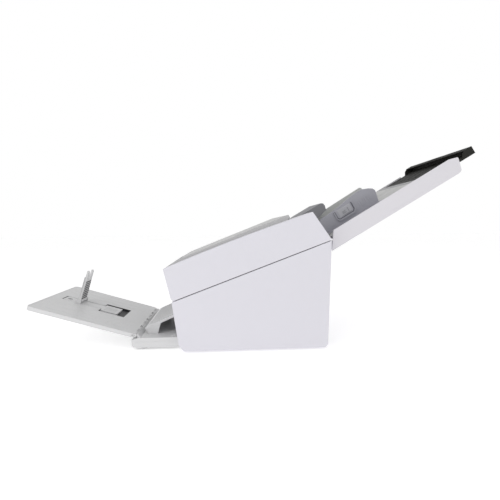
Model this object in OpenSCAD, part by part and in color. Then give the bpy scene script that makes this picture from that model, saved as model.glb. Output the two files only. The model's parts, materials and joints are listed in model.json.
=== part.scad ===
// Sheet fed document scanner: sloping desktop housing whose upper half hinges open at the front,
// a raised feed hopper behind it and a fold-up exit tray in front.
// Origin: on the table under the middle of the housing. Front is -Y, sheets travel from +Y to -Y.

/* [Housing] */
// Width of the housing over both side covers
housing_w = 310; // [290:1:380]
// Height of the housing's lower edge above the table
foot_h = 3; // [2:0.5:5]
// Distance from the origin to the front end of the parting line
part_front = 135.5; // [130:0.5:145]
// Height of the front end of the parting line
part_z = 92; // [85:0.5:100]
// Slope of the parting line
part_ang = 20.35; // [18:0.05:22]
// Distance from the origin to the rear end of the parting line
part_rear = 153; // [148:0.5:160]
// Height of the upper front edge
top_front_z = 151; // [146:0.5:160]
// Height of the upper rear corner
top_rear_z = 250; // [244:0.5:262]
// Distance from the origin to the upper rear corner
top_rear = 118; // [112:0.5:124]
// Crown of the side cover's top line above a straight line
crown = 3; // [0:0.5:4]
// Wall of the covers
wall = 3; // [2.2:0.1:3.4]
// Visible gap along the parting line
part_gap = 1.4; // [0.8:0.1:2]

/* [Chassis] */
// Space between each side cover and the frame plate beside it
drive_gap = 14; // [13:0.5:18]
// Thickness of the frame plates and of the upper arms
plate_t = 2; // [1.5:0.1:2.4]
// Radius of the two hinge pins of the upper unit
hinge_r = 2.5; // [2:0.1:3]
// Radius of the rounded corner that turns about those pins
hinge_corner = 5; // [4.5:0.1:6]
// Running clearance of a pin or shaft in its bore
run = 0.06; // [0.03:0.01:0.09]

/* [Paper path] */
// Height of the paper gap between the two guides
path_gap = 3; // [2.4:0.1:4]
// Thickness of the paper guides
guide_t = 2.5; // [2:0.1:3]
// Width of the exit mouth in the front
mouth_w = 228; // [222:1:234]
// Radius of the transport rollers
roller_r = 10; // [9:0.25:11]
// Radius of the drive shafts
shaft_r = 4; // [3:0.25:4.5]
// Radius of the feed roller
feed_r = 14; // [12:0.25:15]
// Radius of the sprung idler rollers
idler_r = 7; // [6:0.25:8]
// Radius of the separation roller
retard_r = 11; // [10:0.25:12]
// Length of each rubber roller
roller_l = 26; // [20:1:32]
// Radius of the drive pulleys
pulley_r = 11; // [9:0.25:12]
// Radius of the motor's pulley
motor_pulley_r = 5.5; // [5:0.25:7]

/* [Feed hopper] */
// Width over the hopper's side walls
hopper_w = 252; // [244:1:262]
// Length of the hopper's side walls
hopper_l = 282; // [262:1:300]
// Slope of the hopper
hopper_ang = 30.6; // [28:0.1:32]
// Height of the hopper's side walls
hopper_h = 32.5; // [29:0.5:36]
// Rim of the side walls above the paper support
rim = 10; // [8:0.5:12]
// Length of the pale paper support
support_l = 223; // [205:1:240]
// How far the extension stands out of the hopper at rest
ext_out = 36; // [30:1:44]
// Travel of the extension outwards
ext_travel = 110; // [90:1:120]
// Distance of each side guide from the middle at rest
guide_x = 60; // [58:1:66]
// Height of the side guides
fence_h = 33; // [27:0.5:36]
// Length of the side guides
fence_l = 136; // [118:1:140]

/* [Exit tray] */
// Width of the exit tray
tray_w = 252; // [230:1:262]
// Length of the folding plate of the exit tray
plate_l = 199; // [170:1:238]
// Thickness of the folding plate
plate_h = 7.5; // [7:0.1:9]
// Slope of the folding plate
tray_ang = 16.6; // [14:0.1:19]
// Distance from the origin to the tray hinge
tray_hinge = 208; // [202:1:216]
// Height of the tray hinge
tray_hinge_z = 26; // [25:0.5:28]
// Height of the sheet stopper
stopper_h = 66; // [54:1:72]
// Width of the sheet stopper
stopper_w = 40; // [36:1:44]
// Width of the exit chute
chute_w = 190; // [170:1:210]

/* [Hidden] */
$fn = 48;

half_w = housing_w / 2;
frame_x = half_w - wall - drive_gap;        // outer face of the frame plates
arm_x = frame_x - plate_t - 1.5;            // outer face of the upper arms
inner_x = arm_x - plate_t - 1.5;            // half width of the guides and scan units
fit = 0.4;                                  // gap between neighbouring covers
top_w = 2 * (half_w - 37);                  // width of the raised top cover
path_l = (part_rear + part_front) / cos(part_ang);
part_rear_z = part_z + (part_rear + part_front) * tan(part_ang);

// Outline of the lower housing, seen from the side
function part_at(y) = part_z + (y + part_front) * tan(part_ang);
lower_outline = [
    [-(part_front - 20.5), foot_h], [-(part_front - 11.5), foot_h + 10.5],
    [-part_front, part_at(-part_front) - part_gap / 2],
    [part_rear, part_at(part_rear) - part_gap / 2], [part_rear - 6.5, foot_h + 6], [part_rear - 11.5, foot_h]
];

// Pivot of the upper unit: as far from the front face as from the parting plane
corner = [-part_front, part_z + part_gap / 2];
top_front = [-part_front - 14, top_front_z];
front_dir = atan2(top_front[1] - corner[1], top_front[0] - corner[0]);
pivot_ang = (front_dir + part_ang) / 2;
pivot_d = hinge_corner / sin((front_dir - part_ang) / 2);
pivot = [corner[0] + pivot_d * cos(pivot_ang), corner[1] + pivot_d * sin(pivot_ang)];

// Outline of the upper unit's side, with the rounded corner at its pivot and a crowned top
function top_at(y) = top_front_z + (y - top_front[0]) * (top_rear_z - top_front_z) / (top_rear - top_front[0])
    + crown * (1 - pow((2 * y - top_front[0] - top_rear) / (top_rear - top_front[0]), 2));
crown_steps = 8;
upper_outline = concat(
    [for (i = [0:6]) let (a = front_dir + 90 + i * (180 - front_dir + part_ang) / 6)
        pivot + hinge_corner * [cos(a), sin(a)]],
    [[part_rear, part_at(part_rear) + part_gap / 2]],
    [for (i = [crown_steps:-1:0]) let (y = top_front[0] + i * (top_rear - top_front[0]) / crown_steps)
        [y, top_at(y)]]);

// Raised top cover: a steeper operator panel in front of a long straight slope
panel_y = top_front[0] + 30;
panel_z = top_front_z + 17.3;
panel_ang = atan2(panel_z - top_front_z, panel_y - top_front[0]);
raised_end = top_rear - 38;
raised_ang = 21.4;
raised_end_z = panel_z + (raised_end - panel_y) * tan(raised_ang);

// Stations of the rollers and scan units along the paper path
s_exit = 34;
s_second = 98;
s_lower_scan = 126;
s_upper_scan = 144;
s_transport = 208;
s_feed = 262;
nip = 0.2;                                  // half gap between facing rollers
p_shaft = -(roller_r + nip);
p_feed = -(feed_r + nip);
stations = [[s_exit, p_shaft], [s_second, p_shaft], [s_transport, p_shaft], [s_feed, p_feed]];
roller_x = [36, 92];
hook_pin_r = 2.5;
function raised_at(y) = panel_z + (y - panel_y) * tan(raised_ang);
lever_y = 4;
lever_sink = 3;                             // finger plate below the top cover's face
lever_z = raised_at(lever_y) - lever_sink;
s_latch = (lever_y + part_front) * cos(part_ang) + (lever_z - part_z) * sin(part_ang);
p_lever = (lever_z - part_z) * cos(part_ang) - (lever_y + part_front) * sin(part_ang);
p_latch = 34;                               // cross shaft of the release lever
scan_w = 30;
scan_d = 26;
motor_at = [0, 60];
p_hook = -7;

// Hopper and exit tray places
hopper_y = part_rear + 12;
hopper_z = part_rear_z + 4.5;
hopper_pivot = [part_rear + 14, part_rear_z - 7];
side_t = 3;
hopper_floor = rim + 2 - hopper_h;
lug_x = hopper_w / 2 - side_t - 8;
slot_u = 88;                                // station of the side guides' slots
pinion_teeth = 16;
tooth_pitch = 4;
pinion_r = pinion_teeth * tooth_pitch / (2 * PI);
guide_in = 33;
guide_out = 44;
tray_half = tray_w / 2;
base_top = 22;
stopper_v = 141;
knuckles = [-96, -32, 32, 96];
knuckle_l = 16;

module on_path() { translate([0, -part_front, part_z]) rotate([part_ang, 0, 0]) children(); }
module on_hopper() { translate([0, hopper_y, hopper_z]) rotate([hopper_ang, 0, 0]) children(); }
// Exit plate frame: +Y here runs outwards along the plate and +Z stands off its top face
module on_tray() {
    translate([0, -tray_hinge, tray_hinge_z]) rotate([-tray_ang, 0, 0]) mirror([0, 1, 0]) children();
}
// Outline in Y and Z, drawn out along X between two places
module side_slab(x0, x1) { translate([x0, 0, 0]) rotate([90, 0, 90]) linear_extrude(x1 - x0) children(); }
module bar(r, x0, x1, fn = 48) { translate([x0, 0, 0]) rotate([0, 90, 0]) cylinder(r = r, h = x1 - x0, $fn = fn); }
module at(s, p) { translate([0, s, p]) children(); }
// Block between two corners
module block(a, b) { translate(a) cube(b - a); }
module ring_of(outline) {
    difference() {
        polygon(outline);
        offset(delta = -wall) polygon(outline);
    }
}
module both_sides() {
    children();
    mirror([1, 0, 0]) children();
}

// ---- Lower housing ----
cover_x = half_w - wall - fit;              // half width of the covers between the side covers
base_z = foot_h + wall;
module base_tray() color("gainsboro") {
    difference() {
        side_slab(-cover_x, cover_x) intersection() {
            ring_of(lower_outline);
            translate([-200, 0]) square([400, foot_h + 12]);
        }
        for (x = [-70, -50, -30, 30, 50, 70])
            for (y = [-40:20:40])
                block([x - 7, y - 1.8, 0], [x + 7, y + 1.8, base_z + 1]);
    }
    for (x = [-1, 1])
        for (y = [-80, 95])
            translate([x * (frame_x - 12), y, base_z - 0.01]) cylinder(r = 5, h = 6);
}
mouth_drop = 17;
module front_cover() color("lavender") difference() {
    side_slab(-cover_x, cover_x) intersection() {
        ring_of(lower_outline);
        translate([-200, foot_h + 12 + fit]) square([200 - part_front + 16, 200]);
    }
    block([-mouth_w / 2, -200, part_z - mouth_drop], [mouth_w / 2, 0, part_z + 40]);
    block([-inner_x + 5.5, -part_front + wall + 0.6, part_z - mouth_drop], [inner_x - 5.5, 0, part_z + 40]);
    both_sides() block([arm_x - 3, -200, part_z - 9], [frame_x + 1, pivot[0] + 12, part_z + 20]);
}
module rear_cover() color("lavender") {
    difference() {
        side_slab(-cover_x, cover_x) intersection() {
            ring_of(lower_outline);
            translate([part_rear - 24, foot_h + 12 + fit]) square([100, 300]);
        }
        block([-inner_x - 8, part_rear - 40, part_rear_z - 24], [inner_x + 8, part_rear - wall - 1, part_rear_z + 10]);
        for (i = [0:7])
            block([-100, part_rear - 20, 70 + 8 * i], [-20, part_rear + 10, 73.5 + 8 * i]);
        block([socket_x - 6.3, part_rear - 20, 34.7], [socket_x + 6.3, part_rear + 10, 46.3]);
        block([inlet_x - 7.3, part_rear - 20, 32.7], [inlet_x + 7.3, part_rear + 10, 47.3]);
        block([switch_x - 8.3, part_rear - 20, 33.7], [switch_x + 8.3, part_rear + 10, 46.3]);
    }
    // Lugs that carry the feed hopper
    both_sides() difference() {
        side_slab(lug_x - 5, lug_x) hull() {
            translate(hopper_pivot) circle(r = 5.5);
            translate([part_rear - 1.6, hopper_pivot[1] - 26]) square([0.5, 26]);
        }
        translate([0, hopper_pivot[0], hopper_pivot[1]]) bar(hinge_r + run, lug_x - 10, lug_x + 10);
    }
}
module lower_side() side_slab(half_w - wall, half_w) polygon(lower_outline);
module lower_right_cover() color("lavender") lower_side();
module lower_left_cover() color("lavender") mirror([1, 0, 0]) lower_side();

// Steel frame plate with the shaft bores, the hinge ear and the latch pin
bush_r = shaft_r + 2.5;
module frame_plate() {
    difference() {
        union() {
            side_slab(frame_x - plate_t, frame_x) polygon([
                [-110, base_z + 6.3], [-123, part_at(-123) - 16], [-129, part_at(-129) - 7],
                [-127, part_at(-127) - 4], [part_rear - 22, part_at(part_rear - 22) - 4],
                [part_rear - 22, base_z + 6.3]]);
            side_slab(frame_x - plate_t, frame_x) hull() {
                translate(pivot) circle(r = hinge_corner - 0.3, $fn = 32);
                translate([pivot[0] - 1, part_z - 8]) square([9, 5]);
            }
        }
        on_path() for (q = stations) at(q[0], q[1]) bar(bush_r + 0.02, frame_x - 10, frame_x + 10);
        translate([0, pivot[0], pivot[1]]) bar(hinge_r + run, frame_x - 10, frame_x + 10);
        translate([0, motor_at[0], motor_at[1]]) bar(9.3, frame_x - 10, frame_x + 10);
        for (y = [-70, 60])
            translate([0, y, 45]) bar(12, frame_x - 10, frame_x + 10);
    }
    on_path() at(s_latch, p_hook) bar(hook_pin_r, frame_x - 9, frame_x - plate_t);
    // Folded foot that stands on the base
    block([frame_x - 18, -90, base_z + 6], [frame_x, -70, base_z + 8]);
    block([frame_x - 18, 85, base_z + 6], [frame_x, 105, base_z + 8]);
}
module right_frame() color("silver") frame_plate();
module left_frame() color("silver") mirror([1, 0, 0]) frame_plate();

module roller_windows(below) {
    r = below ? roller_r : idler_r;
    for (q = [s_exit, s_second, s_transport])
        for (x = roller_x)
            both_sides() block([x - roller_l / 2 - 2, q - r - 1.5, -10], [x + roller_l / 2 + 2, q + r + 1.5, 10]);
}
module lower_paper_guide() color("dimgray") on_path() difference() {
    union() {
        block([-inner_x + 8, 7, -path_gap / 2 - guide_t], [inner_x - 8, path_l - 7, -path_gap / 2]);
        // Side flanges that tie the guide to the frame plates
        both_sides() block([inner_x - 8.01, 14, -8 - guide_t], [inner_x - 6, s_latch - 12, -path_gap / 2]);
        both_sides() block([inner_x - 8.01, s_latch + 12, -8 - guide_t], [inner_x - 6, path_l - 24, -path_gap / 2]);
        both_sides() block([inner_x - 8.01, 18, -8 - guide_t], [frame_x - plate_t, 24, -8]);
        both_sides() block([inner_x - 8.01, 236, -8 - guide_t], [frame_x - plate_t, 242, -8]);
    }
    roller_windows(true);
    block([-30, s_feed - feed_r - 1.5, -10], [30, s_feed + feed_r + 1.5, 10]);
    block([-inner_x + 12, s_lower_scan - scan_w / 2 - 0.5, -10], [inner_x - 12, s_lower_scan + scan_w / 2 + 0.5, 10]);
    for (q = stations)
        at(q[0], q[1]) bar(shaft_r + 1.5, -half_w, half_w);
}
module scan_body(s, side) {
    difference() {
        block([-inner_x + 12.5, s - scan_w / 2, min(side * path_gap / 2, side * (scan_d + path_gap / 2))],
            [inner_x - 12.5, s + scan_w / 2, max(side * path_gap / 2, side * (scan_d + path_gap / 2))]);
        // Long pocket for the glass
        block([-114, s - 9, min(side * (path_gap / 2 - 1), side * (path_gap / 2 + 1.5))],
            [114, s + 9, max(side * (path_gap / 2 - 1), side * (path_gap / 2 + 1.5))]);
        // Light well of the sensor
        block([-110, s - 4, min(side * path_gap / 2, side * (path_gap / 2 + 12))],
            [110, s + 4, max(side * path_gap / 2, side * (path_gap / 2 + 12))]);
    }
}
module scan_glass(s, side) {
    g0 = side * (path_gap / 2 + 0.3);
    g1 = side * (path_gap / 2 + 1.5);
    block([-113.9, s - 8.9, min(g0, g1)], [113.9, s + 8.9, max(g0, g1)]);
}
module lower_scan_unit() color("dimgray") on_path() {
    scan_body(s_lower_scan, -1);
    both_sides() block([inner_x - 12.51, s_lower_scan - 8, -24], [frame_x - plate_t, s_lower_scan + 8, -20]);
}
module lower_scan_glass() color("lightblue") on_path() scan_glass(s_lower_scan, -1);

// ---- Drive ----
lane = 3.6;                                 // width of one belt lane beside the left frame
lane_x = -(frame_x + 1.6);
bush_out = 1.2;
module drive_shaft(s, p, tail) on_path() at(s, p) difference() {
    bar(shaft_r, -frame_x - tail, frame_x + bush_out + 1);
    bar(1, frame_x - 6, frame_x + 10, 24);
}
module pulley(i) {
    translate([lane_x - i * lane, 0, 0]) {
        bar(pulley_r, -lane + 0.9, -0.3);
        bar(pulley_r + 1.4, -lane + 0.3, -lane + 0.9);
    }
}
module sleeves(r) for (x = roller_x)
    both_sides() difference() {
        bar(r, x - roller_l / 2, x + roller_l / 2, 64);
        bar(shaft_r, x - roller_l, x + roller_l);
    }
module feed_shaft() color("silver") {
    drive_shaft(s_feed, p_feed, 13);
    on_path() at(s_feed, p_feed) pulley(2);
}
module feed_roller() color("darkslategray") on_path() at(s_feed, p_feed) difference() {
    both_sides() bar(feed_r, 3, 27, 64);
    bar(shaft_r, -40, 40);
}
module transport_shaft() color("silver") {
    drive_shaft(s_transport, p_shaft, 13);
    on_path() at(s_transport, p_shaft) {
        pulley(0);
        pulley(1);
        pulley(2);
    }
}
module transport_rollers() color("darkslategray") on_path() at(s_transport, p_shaft) sleeves(roller_r);
module second_shaft() color("silver") {
    drive_shaft(s_second, p_shaft, 5.6);
    on_path() at(s_second, p_shaft) pulley(0);
}
module second_rollers() color("darkslategray") on_path() at(s_second, p_shaft) sleeves(roller_r);
module exit_shaft() color("silver") {
    drive_shaft(s_exit, p_shaft, 5.6);
    on_path() at(s_exit, p_shaft) pulley(0);
}
module exit_rollers() color("darkslategray") on_path() at(s_exit, p_shaft) sleeves(roller_r);
module shaft_bushes() color("ivory") on_path() for (q = stations)
    both_sides() at(q[0], q[1]) difference() {
        union() {
            bar(bush_r, frame_x - plate_t, frame_x);
            bar(bush_r + 1.5, frame_x, frame_x + bush_out);
        }
        bar(shaft_r + run, frame_x - 10, frame_x + 10);
    }
motor_l = 38;
module drive_motor() color("gray") translate([0, motor_at[0], motor_at[1]]) {
    bar(19, -frame_x + plate_t, -frame_x + plate_t + motor_l, 64);
    difference() {
        bar(9, -frame_x - 1, -frame_x + plate_t);
        bar(3, -frame_x - 2, -frame_x + plate_t + 0.01);
    }
    bar(8, -frame_x + plate_t + motor_l, -frame_x + plate_t + motor_l + 4);
}
module motor_pulley() color("ivory") translate([0, motor_at[0], motor_at[1]]) {
    bar(3 - run, -frame_x - 13, -frame_x + plate_t - 0.3);
    translate([lane_x - lane, 0, 0]) {
        bar(motor_pulley_r, -lane + 0.9, -0.3);
        bar(motor_pulley_r + 1.4, -lane + 0.3, -lane + 0.9);
    }
}
function path_point(s, p) = [-part_front + s * cos(part_ang) - p * sin(part_ang),
    part_z + s * sin(part_ang) + p * cos(part_ang)];
belt_t = 1.1;
belt_free = 0.3;
module belt(i, a, ra, b, rb) {
    x = lane_x - i * lane;
    side_slab(x - lane + 1.1, x - 0.5) difference() {
        hull() {
            translate(a) circle(r = ra + belt_free + belt_t, $fn = 40);
            translate(b) circle(r = rb + belt_free + belt_t, $fn = 40);
        }
        hull() {
            translate(a) circle(r = ra + belt_free, $fn = 40);
            translate(b) circle(r = rb + belt_free, $fn = 40);
        }
    }
}
module drive_belts() color("black") {
    belt(0, path_point(s_exit, p_shaft), pulley_r, path_point(s_transport, p_shaft), pulley_r);
    belt(1, motor_at, motor_pulley_r, path_point(s_transport, p_shaft), pulley_r);
    belt(2, path_point(s_feed, p_feed), pulley_r, path_point(s_transport, p_shaft), pulley_r);
}

// ---- Electrics ----
socket_x = 30;
inlet_x = 62;
switch_x = 96;
board_y = part_rear - 46;
module main_board() color("darkgreen") {
    block([-30, board_y, 24], [110, board_y + 1.6, 104]);
    block([-24, board_y - 4, 60], [0, board_y, 84]);
    block([20, board_y - 8, 56], [34, board_y, 96]);
    for (x = [-22, 102])
        for (z = [32, 96])
            translate([x, board_y + 1.6, z]) rotate([-90, 0, 0]) cylinder(r = 3, h = 6);
    // Bracket that carries the board on the base
    block([-30, board_y + 7.59, base_z], [110, board_y + 9, 104]);
    block([-30, board_y + 7.59, base_z], [110, board_y + 22, base_z + 1.5]);
}
function rear_y(z) = part_rear - 6.5 + (z - foot_h - 6) * 6.5 / (part_rear_z - foot_h - 6);
module socket_shell(x, w, z0, z1, depth) difference() {
    block([x - w / 2, board_y + 9, z0], [x + w / 2, rear_y(z0) - 0.3, z1]);
    block([x - w / 2 + 1.5, rear_y(z0) - depth, z0 + 1.5], [x + w / 2 - 1.5, part_rear + 5, z1 - 1.5]);
}
module data_socket() color("silver") socket_shell(socket_x, 12, 35, 46, 12);
switch_z = 40;
module power_inlet() color("black") {
    socket_shell(inlet_x, 14, 33, 47, 13);
    // Case of the rocker switch, in one moulding with the inlet
    difference() {
        block([inlet_x + 6.99, board_y + 9, 33], [switch_x + 9.4, rear_y(33) - 3.6, 47]);
        block([switch_x - 8, rear_y(34) - 12, 34.5], [switch_x + 8, part_rear + 5, 45.5]);
        translate([0, rear_y(34) - 7, switch_z]) bar(1.5 + run, switch_x - 8.9, switch_x + 8.9);
    }
}
module power_switch() color("black") translate([switch_x, rear_y(34) - 7, switch_z]) {
    side_slab(-7.6, 7.6) polygon([[-3, -3.5], [3.4, -4.6], [5, -4.6], [6.2, 0], [8, 4.6], [5, 4.6], [-3, 3.5]]);
    bar(1.5, -8.7, 8.7);
}
// Four feet near the corners and one under the middle
module rubber_feet() color("dimgray")
    for (q = [[-1, -84], [-1, 112], [0, 0], [1, -84], [1, 112]])
        translate([q[0] * (half_w - 32), q[1], 0]) cylinder(r1 = 8, r2 = 9, h = foot_h);
screw_head = 2;
module cover_screws() color("silver") {
    for (x = [-1, 1])
        for (y = [-80, 95])
            translate([x * (frame_x - 12), y, base_z + 8]) difference() {
                cylinder(r = 3.4, h = screw_head);
                translate([0, 0, 1]) cylinder(r = 1.2, h = 3, $fn = 6);
            }
    for (x = [-110, 110])
        for (z = [22, 150])
            translate([x, rear_y(z) + 0.03, z]) rotate([-90 - 1.9, 0, 0]) difference() {
                cylinder(r = 3.2, h = 1.3);
                translate([0, 0, 0.4]) cylinder(r = 1.2, h = 3, $fn = 6);
            }
}

// ---- Exit chute in front of the mouth ----
function front_y_at(z) = -part_front + (part_z - z) * 11.5 / (part_z - foot_h - 10.5);
chute_top = part_z - mouth_drop - 14;
chute_x = chute_w / 2;
chute_t = 3;
chute_tip = [-(part_front + 58), base_top + 12];
chute_slope = (chute_top - chute_tip[1]) / (front_y_at(chute_top) - chute_tip[0]);
module exit_chute() color("whitesmoke") {
    // Sloping plate
    side_slab(-chute_x, chute_x) polygon([
        [front_y_at(chute_top) - 0.4, chute_top], chute_tip, [chute_tip[0] - 1, chute_tip[1] - 4],
        [chute_tip[0] + 3, chute_tip[1] - 4], [front_y_at(chute_top - 4) - 0.4, chute_top - 4.5]]);
    // Cheeks that stand on the exit base, open behind
    both_sides() side_slab(chute_x - chute_t, chute_x) translate(chute_tip) polygon([
        [1, -3], [6, base_top - chute_tip[1]], [24, base_top - chute_tip[1]], [30, 30 * chute_slope - 3],
        [8, 8 * chute_slope - 1]]);
    // Ribs that carry the sheet
    for (x = [-81:18:81])
        side_slab(x - 1, x + 1) polygon([
            [front_y_at(chute_top) - 1, chute_top - 0.5], [chute_tip[0] + 4, chute_tip[1] + 1],
            [chute_tip[0] + 7, chute_tip[1] + 4.6], [front_y_at(chute_top) - 1, chute_top + 1.6]]);
}

// ---- Upper unit ----
module upper_profile() ring_of(upper_outline);
ear_clear = hinge_corner + 2;
module ear_slot() {
    translate([0, pivot[0], pivot[1]]) bar(ear_clear, arm_x - plate_t - 2, frame_x + 1.2);
    side_slab(arm_x - plate_t - 2, frame_x + 1.2) polygon([
        [pivot[0] - 12, pivot[1] - 12], [pivot[0] + 9, pivot[1] - 12],
        [pivot[0] + 9, pivot[1]], [pivot[0] - 12, pivot[1] + 1]]);
}
module upper_side() {
    side_slab(half_w - wall, half_w) polygon(upper_outline);
    difference() {
        side_slab(top_w / 2 + fit, half_w - wall + 0.01) difference() {
            upper_profile();
            // Open underneath, where the frame plates and the drive stand up
            translate([-part_front, part_z]) rotate(part_ang) translate([hinge_corner + 2, -60])
                square([path_l - hinge_corner - 8, 66]);
        }
        ear_slot();
    }
}
module upper_right_cover() color("lavender") upper_side();
module upper_left_cover() color("lavender") mirror([1, 0, 0]) upper_side();

// Raised top cover with the operator panel, the front wall and the lever's slot
top_x = top_w / 2;
lever_x = 100;
lever_w = 13;
lever_l = 50;
lever_play = 6;
key_r = 8;
stop_r = 6;
module top_line() polygon([
    [top_front[0] - 0.01, top_front[1]], [panel_y, panel_z], [raised_end, raised_end_z],
    [raised_end + 6, top_at(raised_end + 6) - 3], [raised_end + 6, top_at(raised_end + 6) - 3 - wall],
    [raised_end - 2, raised_end_z - wall - 1.5], [panel_y + 0.6, panel_z - wall], [top_front[0] + 3.2, top_front[1] - 1.3],
    corner + (wall + 1) * [0.22, 1] + [wall - 0.2, 0], corner + [-1.2, hinge_corner + 0.2]]);
module on_panel() {
    translate([0, top_front[0], top_front[1]]) rotate([panel_ang, 0, 0]) children();
}
panel_mid = 17;
key_x = [-44, -30, -16];
skirt_t = 2.4;
skirt_drop = 6;                             // sides of the raised cover reach below the side covers' top
skirt_y = top_front[0] + 4;
module top_cover() color("silver") difference() {
    union() {
        side_slab(-top_x, top_x) top_line();
        both_sides() side_slab(top_x - skirt_t, top_x) polygon(concat(
            [[skirt_y, top_front_z + 1.8], [panel_y, panel_z - 0.5], [raised_end, raised_end_z - 0.5]],
            [for (i = [crown_steps:-1:0]) let (y = skirt_y + i * (raised_end - skirt_y) / crown_steps)
                [y, top_at(y) - skirt_drop]]));
    }
    translate([lever_x - lever_w / 2, lever_y - lever_l / 2 * cos(raised_ang), lever_z - 30])
        cube([lever_w, lever_l * cos(raised_ang), 60]);
    on_panel() {
        translate([72, panel_mid, -10]) cylinder(r = key_r + 0.4, h = 20);
        translate([48, panel_mid, -10]) cylinder(r = stop_r + 0.4, h = 20);
        for (x = key_x)
            block([x - 5.4, panel_mid - 3.4, -10], [x + 5.4, panel_mid + 3.4, 10]);
        block([-6, panel_mid - 8, -0.8], [30, panel_mid + 8, 10]);
    }
}
module display_window() color("black") on_panel() block([-5.8, panel_mid - 7.8, -0.8], [29.8, panel_mid + 7.8, -0.1]);
key_rise = 0.6;                             // keys stand proud of the panel by this much
module button_body(r) {
    translate([0, 0, -wall - 0.31]) cylinder(r = r, h = wall + 0.31 + key_rise);
    translate([0, 0, -wall - 1.8]) cylinder(r = r + 1.4, h = 1.5);
}
module start_button() color("silver") on_panel() translate([72, panel_mid, 0]) button_body(key_r);
module stop_button() color("dimgray") on_panel() translate([48, panel_mid, 0]) button_body(stop_r);
module menu_keys() color("dimgray") on_panel() {
    for (x = key_x)
        block([x - 5, panel_mid - 3, -wall - 0.31], [x + 5, panel_mid + 3, key_rise]);
    block([key_x[0] - 6, panel_mid - 4.4, -wall - 1.8], [key_x[2] + 6, panel_mid + 4.4, -wall - 0.3]);
}

// Dark cover over the feed mouth with its raised hood
hood_x = 53;
module entry_hood() color("dimgray") {
    side_slab(-top_x, top_x) polygon([
        [raised_end + 6 + fit, top_at(raised_end + 6) - 3.2], [top_rear - 3, top_at(top_rear - 3) - 3.5],
        [top_rear + 9, top_rear_z - 19], [top_rear + 6, top_rear_z - 21],
        [top_rear - 6, top_at(top_rear - 6) - 7], [raised_end + 6 + fit, top_at(raised_end + 6) - 3.2 - wall]]);
    difference() {
        side_slab(-hood_x, hood_x) polygon([
            [top_rear - 6, top_rear_z - 6.5], [top_rear - 1, top_rear_z - 2], [top_rear + 40, top_rear_z + 22],
            [top_rear + 45, top_rear_z + 21.5], [top_rear + 48.5, top_rear_z + 17], [top_rear + 51, top_rear_z + 8.5],
            [top_rear + 35, top_rear_z - 8], [top_rear + 24, top_rear_z - 16], [top_rear + 8, top_rear_z - 18]]);
        side_slab(-hood_x + wall, hood_x - wall) polygon([
            [top_rear - 4, top_rear_z - 9], [top_rear + 40, top_rear_z + 17], [top_rear + 44, top_rear_z + 16],
            [top_rear + 47, top_rear_z + 6], [top_rear + 56, top_rear_z + 4], [top_rear + 10, top_rear_z - 40],
            [top_rear + 4, top_rear_z - 17]]);
    }
}

// Steel arms and cross channels
module upper_frame() color("silver") {
    both_sides() difference() {
        union() {
            on_path() block([arm_x - plate_t, 14, 4], [arm_x, path_l - 36, 40]);
            side_slab(arm_x - plate_t, arm_x) hull() {
                translate(pivot) circle(r = hinge_corner - 0.5, $fn = 32);
                translate(path_point(16, 8)) circle(r = 3, $fn = 16);
                translate(path_point(20, 24)) circle(r = 3, $fn = 16);
            }
        }
        translate([0, pivot[0], pivot[1]]) bar(hinge_r - 0.01, 0, half_w);
        on_path() {
            for (q = [s_exit, s_second, s_transport])
                at(q, idler_r + nip) bar(2.5 + run, 0, half_w);
            at(s_feed, retard_r + nip) bar(3 + run, 0, half_w);
            at(s_latch, p_latch) bar(3 + run, 0, half_w);
        }
    }
    on_path() {
        for (s = [[44, s_second - 6], [s_upper_scan - 14, s_upper_scan + 14], [s_latch + 13, s_transport + 30]])
            block([-arm_x + 0.01, s[0], 33], [arm_x - 0.01, s[1], 35]);
        // Tabs under the top cover
        both_sides() block([arm_x - 14, 60, 34.9], [arm_x, 84, 37]);
    }
}
pin_head = 1.2;
module hinge_pins() color("silver") both_sides() translate([0, pivot[0], pivot[1]]) {
    bar(hinge_r, arm_x - plate_t - pin_head, frame_x + 0.6);
    bar(hinge_r + 1.2, arm_x - plate_t - pin_head, arm_x - plate_t);
}
module upper_paper_guide() color("dimgray") on_path() difference() {
    union() {
        block([-inner_x + 8, 7, path_gap / 2], [inner_x - 8, path_l - 30, path_gap / 2 + guide_t]);
        both_sides() block([inner_x - 8.01, 44, path_gap / 2], [inner_x - 6, s_second - 8, 33]);
        both_sides() block([inner_x - 8.01, s_latch + 15, path_gap / 2], [inner_x - 6, s_transport + 30, 33]);
    }
    roller_windows(false);
    block([-26, s_feed - retard_r - 1.5, -10], [26, s_feed + retard_r + 1.5, 10]);
    block([-inner_x + 12, s_upper_scan - scan_w / 2 - 0.5, -10], [inner_x - 12, s_upper_scan + scan_w / 2 + 0.5, 10]);
    for (q = [s_exit, s_second, s_transport])
        at(q, idler_r + nip) bar(3.4, -half_w, half_w);
}
module upper_scan_unit() color("dimgray") on_path() {
    scan_body(s_upper_scan, 1);
    block([-40, s_upper_scan - 6, path_gap / 2 + scan_d - 0.01], [40, s_upper_scan + 6, 33]);
}
module upper_scan_glass() color("lightblue") on_path() scan_glass(s_upper_scan, 1);
module idler_set(s) on_path() at(s, idler_r + nip) {
    bar(2.5, -arm_x - 0.8, arm_x + 0.8);
    for (x = roller_x)
        both_sides() bar(idler_r, x - roller_l / 2 + 1, x + roller_l / 2 - 1, 64);
}
module transport_idlers() color("whitesmoke") idler_set(s_transport);
module second_idlers() color("whitesmoke") idler_set(s_second);
module exit_idlers() color("whitesmoke") idler_set(s_exit);
module separation_roller() color("darkslategray") on_path() at(s_feed, retard_r + nip) {
    bar(3, -arm_x - 0.8, arm_x + 0.8);
    bar(retard_r, -22, 22, 64);
}

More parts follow.
